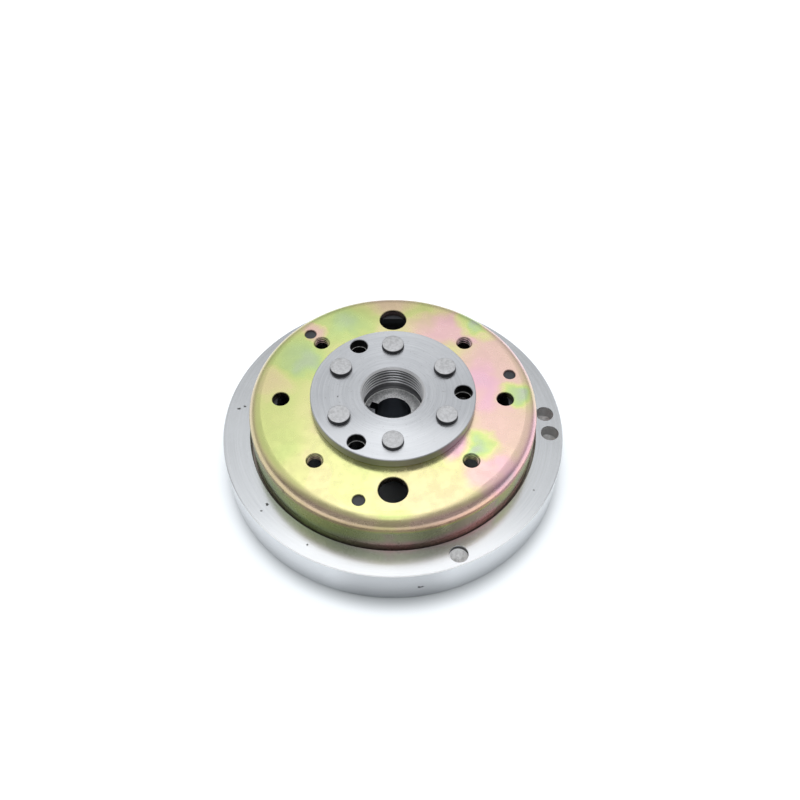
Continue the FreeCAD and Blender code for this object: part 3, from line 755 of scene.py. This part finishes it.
def paint(material, *names):
    for name in names:
        nodes[name].data.materials.clear()
        nodes[name].data.materials.append(material)


def paint_all():
    magnets = [name for name in nodes if name.startswith("magnet_") and name != "magnet_cage"]
    paint(ring_material(), "inertia_ring")
    paint(hub_material(), "hub")
    paint(plated_material(), "rotor_cup")
    paint(plain_dark_material("ferrite", FERRITE, metallic=FERRITE_METALLIC), *magnets)
    paint(plain_dark_material("cage_plastic", CAGE_PLASTIC), "magnet_cage")


def rounded(corner_radius, corner_height, rounding, steps, outward):
    """Quarter circle from a flat end face round to the side, as (radius, height): outward is 1 at the top."""
    points = []
    for step in range(steps + 1):
        turn = math.radians(90 * step / steps)
        points.append((corner_radius - rounding * (1 - math.sin(turn)),
                       corner_height - outward * rounding * (1 - math.cos(turn))))
    return points


def rivet_profile(top, foot, tail, growth):
    """Outline of a rivet from the middle of its head down to the middle of its tail, as (radius, height)."""
    face = RIVET_HEAD_TOP * growth
    flat = face - RIVET_ROUNDING
    profile = []
    for ring in range(1, RIVET_RINGS):
        share = ring / RIVET_RINGS
        profile.append((flat * share, top - RIVET_CROWN * share ** 2))
    profile += rounded(face, top - RIVET_CROWN, RIVET_ROUNDING, steps=4, outward=1)
    profile += [(RIVET_HEAD_FOOT * growth, FLANGE_TOP), (RIVET_SHANK, FLANGE_TOP)]
    profile += [(RIVET_SHANK, CUP_FLOOR), (tail, CUP_FLOOR)]
    profile += reversed(rounded(tail, foot, TAIL_ROUNDING, steps=6, outward=-1))
    return profile


def struck_point(radius, angle, height, top, seed):
    """A point of the rivet, moved a little as the blows left it."""
    x = radius * math.cos(angle)
    y = radius * math.sin(angle)
    if height > top - RIVET_CROWN - RIVET_ROUNDING:
        broad = noise.noise(Vector((x * BROAD_DENTS, y * BROAD_DENTS, seed)))
        fine = noise.noise(Vector((x * FINE_DENTS, y * FINE_DENTS, seed)))
        height += RIVET_DENT * (broad + 0.5 * fine - 0.5)
    if radius > RIVET_SHANK + RIVET_OUT_OF_ROUND and height > CUP_TOP:
        sway = noise.noise(Vector((math.cos(angle), math.sin(angle), seed)))
        x += RIVET_OUT_OF_ROUND * sway * math.cos(angle)
        y += RIVET_OUT_OF_ROUND * sway * math.sin(angle)
    return x, y, height


def turn_rivet(profile, middle, top, seed):
    """Closed mesh of one rivet, turned from its outline about the given middle."""
    mesh = bmesh.new()

    def vertex(radius, angle, height):
        x, y, z = struck_point(radius, angle, height, top, seed)
        return mesh.verts.new((middle[0] + x * MM, middle[1] + y * MM, z * MM))

    turns = [2 * math.pi * index / RIVET_SEGMENTS for index in range(RIVET_SEGMENTS)]
    rings = []
    for radius, height in profile:
        rings.append([vertex(radius, turn, height) for turn in turns])
    for upper, lower in zip(rings, rings[1:]):
        for index in range(RIVET_SEGMENTS):
            after = (index + 1) % RIVET_SEGMENTS
            mesh.faces.new((upper[index], lower[index], lower[after], upper[after]))
    for end, height in ((rings[0], profile[0][1]), (rings[-1], profile[-1][1])):
        pole = vertex(0.0, 0.0, height)
        for index in range(RIVET_SEGMENTS):
            mesh.faces.new((pole, end[index], end[(index + 1) % RIVET_SEGMENTS]))
    bmesh.ops.recalc_face_normals(mesh, faces=mesh.faces)
    return mesh


def build_rivet(name, material, growth, seed):
    """One struck rivet, standing where the CAD rivet stands."""
    low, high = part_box(name)
    middle = ((low[0] + high[0]) / 2, (low[1] + high[1]) / 2)
    tail = (high[0] - low[0]) / 2 / MM
    top = high[2] / MM
    mesh = turn_rivet(rivet_profile(top, low[2] / MM, tail, growth), middle, top, seed)
    data = bpy.data.meshes.new(name + "_struck")
    mesh.to_mesh(data)
    mesh.free()
    data.materials.append(material)
    for face in data.polygons:
        face.use_smooth = True
    data.set_sharp_from_angle(angle=SHARP_ANGLE)
    rivet = bpy.data.objects.new(name + "_struck", data)
    bpy.context.scene.collection.objects.link(rivet)
    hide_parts(name)
    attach(rivet, "root")


def build_rivets():
    material = rivet_material()
    names = sorted(name for name in nodes if name.startswith("hub_rivet_"))
    for index, (name, growth) in enumerate(zip(names, RIVET_GROWTH)):
        paint(material, name)
        build_rivet(name, material, growth, index * RIVET_SEED_STEP)


def build_floor():
    """Pale table top, with a painted shadow just in front of the ring's foot."""
    bpy.ops.mesh.primitive_plane_add(size=FLOOR_WIDTH, location=(0, 0, 0))
    floor = bpy.context.object
    floor.name = "floor"
    material, graph = new_material("pale_floor_painted_shadow")
    place = Place(graph, FLOOR_SHADE_CENTRE)
    # Painted shadow on the table in front of the ring's foot.
    colour = graph.mix(graph.rescale(place.radius, *FLOOR_SHADE), FLOOR_SHADOW, FLOOR_PALE)
    graph.metal(colour, FLOOR_ROUGHNESS, metallic=0.0)
    floor.data.materials.append(material)


def build_card():
    """Grey card that only reflections see."""
    bpy.ops.mesh.primitive_plane_add(size=1.0, location=(0, -CARD_DISTANCE, CARD_HEIGHT / 2))
    card = bpy.context.object
    card.name = "grey_card"
    card.scale = (CARD_WIDTH, CARD_HEIGHT, 1)
    card.rotation_euler = (math.radians(90), 0, 0)
    material, graph = new_material("grey_card")
    graph.metal(CARD_GREY, 1.0, metallic=0.0)
    card.data.materials.append(material)
    card.visible_camera = False
    card.visible_diffuse = False
    card.visible_shadow = False


def build_world():
    """White room: a softbox overhead, a pale back wall, and a dimmer side where the camera stands."""
    world = bpy.data.worlds.new("studio")
    bpy.context.scene.world = world
    world.use_nodes = True
    graph = Graph(world.node_tree)
    x, y, z = graph.split(graph.add("ShaderNodeTexCoord").outputs["Generated"])
    walls = graph.rescale(y, *WALL_TURN, CAMERA_SIDE, BACK_WALL)
    walls = graph.math("MULTIPLY", walls, graph.rescale(z, *HORIZON_CLIMB, HORIZON, 1.0))
    climb = graph.math("MAXIMUM", z, LOWEST_CLIMB)
    aside = graph.math("SUBTRACT", graph.math("DIVIDE", x, climb), SOFTBOX_MIDDLE)
    along = graph.math("DIVIDE", y, climb)
    softbox = graph.product(graph.rescale(graph.math("ABSOLUTE", aside), *SOFTBOX_HALF_WIDTH, SOFTBOX, 0.0),
                            graph.rescale(graph.math("ABSOLUTE", along), *SOFTBOX_HALF_LENGTH, 1.0, 0.0))
    background = graph.add("ShaderNodeBackground")
    graph.feed(background.inputs["Color"], ROOM_TINT)
    graph.feed(background.inputs["Strength"], graph.math("ADD", walls, softbox))
    output = graph.add("ShaderNodeOutputWorld")
    graph.feed(output.inputs["Surface"], background.outputs[0])


def build_light():
    """Light that brightens the floor and little else: the metal mirrors the room instead."""
    data = bpy.data.lights.new("floor_light", "AREA")
    data.shape = "RECTANGLE"
    data.size, data.size_y = FLOOR_LIGHT_SIZE
    data.energy = FLOOR_LIGHT
    light = bpy.data.objects.new("floor_light", data)
    bpy.context.scene.collection.objects.link(light)
    light.visible_glossy = False
    light.location = FLOOR_LIGHT_PLACE
    light.rotation_euler = (-Vector(FLOOR_LIGHT_PLACE)).to_track_quat("-Z", "Y").to_euler()


def build_camera():
    data = bpy.data.cameras.new("camera")
    data.sensor_width = CAMERA_SENSOR
    data.lens = CAMERA_LENS
    data.shift_x, data.shift_y = CAMERA_SHIFT
    data.clip_start = 0.01
    camera = bpy.data.objects.new("camera", data)
    bpy.context.scene.collection.objects.link(camera)
    away = Vector((0, -math.cos(CAMERA_ELEVATION), math.sin(CAMERA_ELEVATION)))
    camera.location = Vector(CAMERA_TARGET) + away * CAMERA_DISTANCE
    camera.rotation_euler = (-away).to_track_quat("-Z", "Y").to_euler()
    bpy.context.scene.camera = camera


def write_sizes():
    bpy.context.view_layer.update()


paint_all()
build_rivets()
build_floor()
build_card()
build_world()
build_light()
build_camera()
bpy.context.scene.view_settings.view_transform = "Standard"
write_sizes()
